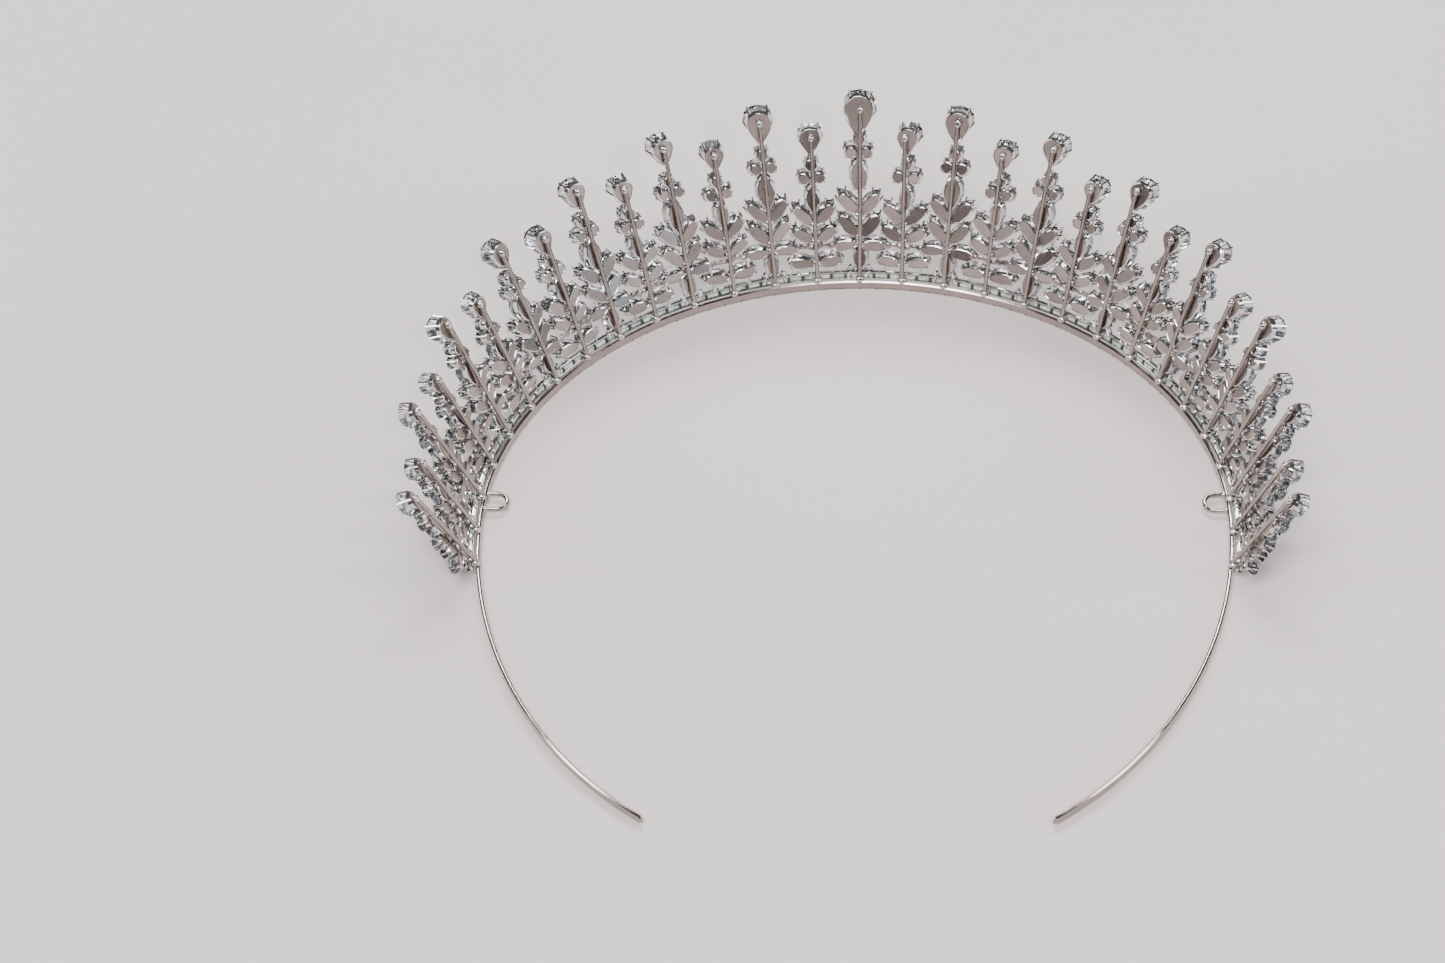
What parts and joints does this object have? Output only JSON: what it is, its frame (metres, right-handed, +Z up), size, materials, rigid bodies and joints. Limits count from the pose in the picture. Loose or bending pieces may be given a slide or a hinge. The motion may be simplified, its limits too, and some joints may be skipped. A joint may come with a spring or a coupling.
{
  "type": "bridal tiara",
  "caption": "Open headband tiara with a crystal row and a flaring wall of tall and short closed-back crystal sprays.",
  "frame": {"origin": "under the middle of the whole tiara, on the surface that the headband's lower edge lies on", "axes": "+Z up, out of the flat-lying headband; -Y to the front of the head; +X to the wearer's left"},
  "size_m": [0.1678, 0.1528, 0.0387],
  "materials": {
    "rhodium_plate": "bright rhodium plate over cast metal, satin on the closed backs",
    "crystal": "clear faceted crystal"
  },
  "bodies": {
    "root": {"headband": "rhodium_plate", "baguette_strip": "rhodium_plate", "hairpin_loop_left": "rhodium_plate", "hairpin_loop_right": "rhodium_plate", "tall_spray_01": "rhodium_plate", "short_spray_02": "rhodium_plate", "tall_spray_03": "rhodium_plate", "short_spray_04": "rhodium_plate", "tall_spray_05": "rhodium_plate", "short_spray_06": "rhodium_plate", "tall_spray_07": "rhodium_plate", "short_spray_08": "rhodium_plate", "tall_spray_09": "rhodium_plate", "short_spray_10": "rhodium_plate", "tall_spray_11": "rhodium_plate", "short_spray_12": "rhodium_plate", "tall_spray_13": "rhodium_plate", "short_spray_14": "rhodium_plate", "tall_spray_15": "rhodium_plate", "short_spray_16": "rhodium_plate", "tall_spray_17": "rhodium_plate", "short_spray_18": "rhodium_plate", "tall_spray_19": "rhodium_plate", "short_spray_20": "rhodium_plate", "tall_spray_21": "rhodium_plate", "short_spray_22": "rhodium_plate", "tall_spray_23": "rhodium_plate", "short_spray_24": "rhodium_plate", "tall_spray_25": "rhodium_plate", "short_spray_26": "rhodium_plate", "tall_spray_27": "rhodium_plate", "short_spray_28": "rhodium_plate", "tall_spray_29": "rhodium_plate", "pear_crystal_01": "crystal", "pear_crystal_03": "crystal", "pear_crystal_05": "crystal", "pear_crystal_07": "crystal", "pear_crystal_09": "crystal", "pear_crystal_11": "crystal", "pear_crystal_13": "crystal", "pear_crystal_15": "crystal", "pear_crystal_17": "crystal", "pear_crystal_19": "crystal", "pear_crystal_21": "crystal", "pear_crystal_23": "crystal", "pear_crystal_25": "crystal", "pear_crystal_27": "crystal", "pear_crystal_29": "crystal"}
  },
  "joints": []
}
